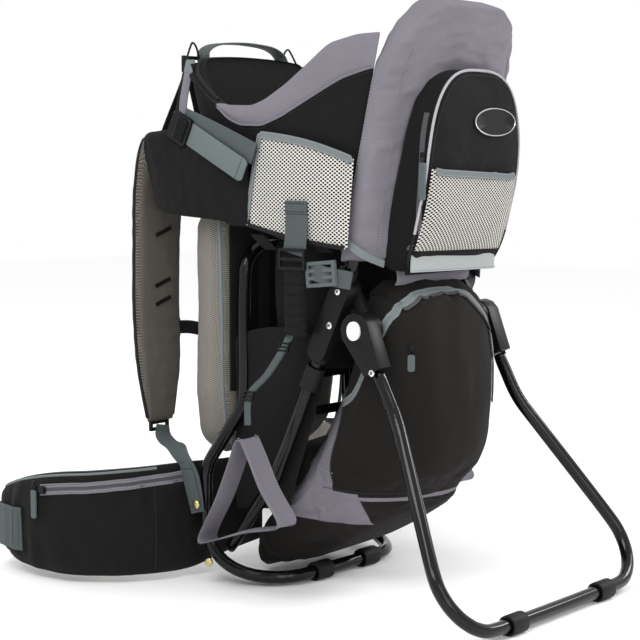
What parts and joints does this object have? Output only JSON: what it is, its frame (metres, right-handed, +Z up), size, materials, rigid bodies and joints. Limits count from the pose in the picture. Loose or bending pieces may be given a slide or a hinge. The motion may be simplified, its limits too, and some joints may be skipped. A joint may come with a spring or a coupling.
{
  "type": "baby carrier backpack",
  "caption": "Framed child carrier backpack with folding kickstand, padded cockpit, tall hood, storage bags, hip belt, shoulder straps and foot stirrups.",
  "frame": {"origin": "on the floor under the middle of the whole object's box", "axes": "+X to the wearer's right, +Y the way the wearer faces, +Z up"},
  "size_m": [0.658, 0.843, 0.806],
  "materials": {
    "black_painted_tube": "gloss black powder coat",
    "black_plastic": "satin moulded",
    "grey_plastic": "satin moulded",
    "black_rubber": "matt",
    "brass_bolt": "yellow zinc plated",
    "steel_pin": "bright",
    "white_button": "glossy moulded",
    "black_fabric": "woven polyester",
    "lavender_fabric": "woven polyester",
    "pale_mesh": "open knitted mesh",
    "pad_mesh": "padded air mesh",
    "grey_webbing": "ribbed webbing"
  },
  "bodies": {
    "frame": {"back_pad": "pad_mesh", "back_panel": "black_fabric", "blank_badge": "black_plastic", "chest_strap_left": "black_fabric", "chest_strap_right": "black_fabric", "child_seat": "black_fabric", "cockpit_wall": "black_fabric", "daypack": "black_fabric", "front_foot_left": "black_rubber", "front_foot_right": "black_rubber", "front_frame_tube": "black_painted_tube", "grab_handle": "grey_webbing", "hinge_bracket_left": "black_plastic", "hinge_bracket_right": "black_plastic", "hinge_pin_left": "steel_pin", "hinge_pin_right": "steel_pin", "hood": "lavender_fabric", "load_lifter_left": "black_fabric", "load_lifter_right": "black_fabric", "lower_bolt_left": "brass_bolt", "lower_bolt_right": "brass_bolt", "rear_frame_tube": "black_painted_tube", "seat_cross_tube": "black_painted_tube", "seat_hanger_left": "black_fabric", "seat_hanger_right": "black_fabric", "shoulder_strap_left": "pad_mesh", "shoulder_strap_right": "pad_mesh", "shoulder_yoke": "black_fabric", "side_pocket_left": "pale_mesh", "side_pocket_right": "pale_mesh", "stirrup_strap_left": "grey_webbing", "stirrup_strap_right": "grey_webbing", "storage_bag": "black_fabric", "strap_webbing_left": "grey_webbing", "strap_webbing_right": "grey_webbing", "tube_grip_left": "black_rubber", "tube_grip_right": "black_rubber", "upper_bolt_left": "brass_bolt", "upper_bolt_right": "brass_bolt"},
    "kickstand": {"kickstand_tube": "black_painted_tube", "kickstand_socket_left": "black_plastic", "kickstand_socket_right": "black_plastic", "rear_foot_left": "black_rubber", "rear_foot_right": "black_rubber", "button_spring_left": "steel_pin", "button_spring_right": "steel_pin"},
    "press_button_left": {"press_button_left": "white_button"},
    "hip_belt_left": {"hip_belt_left": "black_fabric", "hip_webbing_left": "grey_webbing", "hip_buckle_left": "black_plastic"},
    "zip_pull_hip_left": {"zip_pull_hip_left": "grey_plastic"},
    "stirrup_left": {"stirrup_left": "lavender_fabric"},
    "press_button_right": {"press_button_right": "white_button"},
    "hip_belt_right": {"hip_belt_right": "black_fabric", "hip_webbing_right": "grey_webbing", "hip_buckle_right": "black_plastic"},
    "zip_pull_hip_right": {"zip_pull_hip_right": "grey_plastic"},
    "stirrup_right": {"stirrup_right": "lavender_fabric"},
    "zip_pull_bag": {"zip_pull_bag": "grey_plastic"},
    "zip_pull_daypack": {"zip_pull_daypack": "grey_plastic"}
  },
  "joints": [
    {"name": "kickstand_fold", "type": "hinge", "parent": "frame", "child": "kickstand", "pos_m": [0, -0.1845, 0.372], "axis": [1, 0, 0], "range_deg": [0, 40]},
    {"name": "press_button_left_travel", "type": "slide", "parent": "kickstand", "child": "press_button_left", "axis": [1, 0, 0], "range_m": [0, 0.003], "stiffness_N_per_m": 600, "springref_m": -0.002},
    {"name": "hip_belt_left_swing", "type": "hinge", "parent": "frame", "child": "hip_belt_left", "pos_m": [-0.012, 0.106, 0.095], "axis": [0, 0, -1], "range_deg": [0, 24]},
    {"name": "zip_pull_hip_left_swing", "type": "hinge", "parent": "hip_belt_left", "child": "zip_pull_hip_left", "pos_m": [-0.3275, 0.254, 0.144], "axis": [0, 1, 0], "range_deg": [0, 110]},
    {"name": "stirrup_left_swing", "type": "hinge", "parent": "frame", "child": "stirrup_left", "pos_m": [-0.198, -0.0435, 0.236], "axis": [1, 0, 0], "range_deg": [-20, 18]},
    {"name": "press_button_right_travel", "type": "slide", "parent": "kickstand", "child": "press_button_right", "axis": [-1, 0, 0], "range_m": [0, 0.003], "stiffness_N_per_m": 600, "springref_m": -0.002},
    {"name": "hip_belt_right_swing", "type": "hinge", "parent": "frame", "child": "hip_belt_right", "pos_m": [0.012, 0.106, 0.095], "axis": [0, 0, 1], "range_deg": [0, 24]},
    {"name": "zip_pull_hip_right_swing", "type": "hinge", "parent": "hip_belt_right", "child": "zip_pull_hip_right", "pos_m": [0.3275, 0.254, 0.144], "axis": [0, -1, 0], "range_deg": [0, 110]},
    {"name": "stirrup_right_swing", "type": "hinge", "parent": "frame", "child": "stirrup_right", "pos_m": [0.198, -0.0435, 0.236], "axis": [1, 0, 0], "range_deg": [-20, 18]},
    {"name": "zip_pull_bag_swing", "type": "hinge", "parent": "frame", "child": "zip_pull_bag", "pos_m": [-0.0941, -0.2346, 0.352], "axis": [-0.65, 0.76, 0], "range_deg": [0, 110]},
    {"name": "zip_pull_daypack_swing", "type": "hinge", "parent": "frame", "child": "zip_pull_daypack", "pos_m": [-0.109, -0.262, 0.604], "axis": [0, 1, 0], "range_deg": [0, 110]}
  ]
}
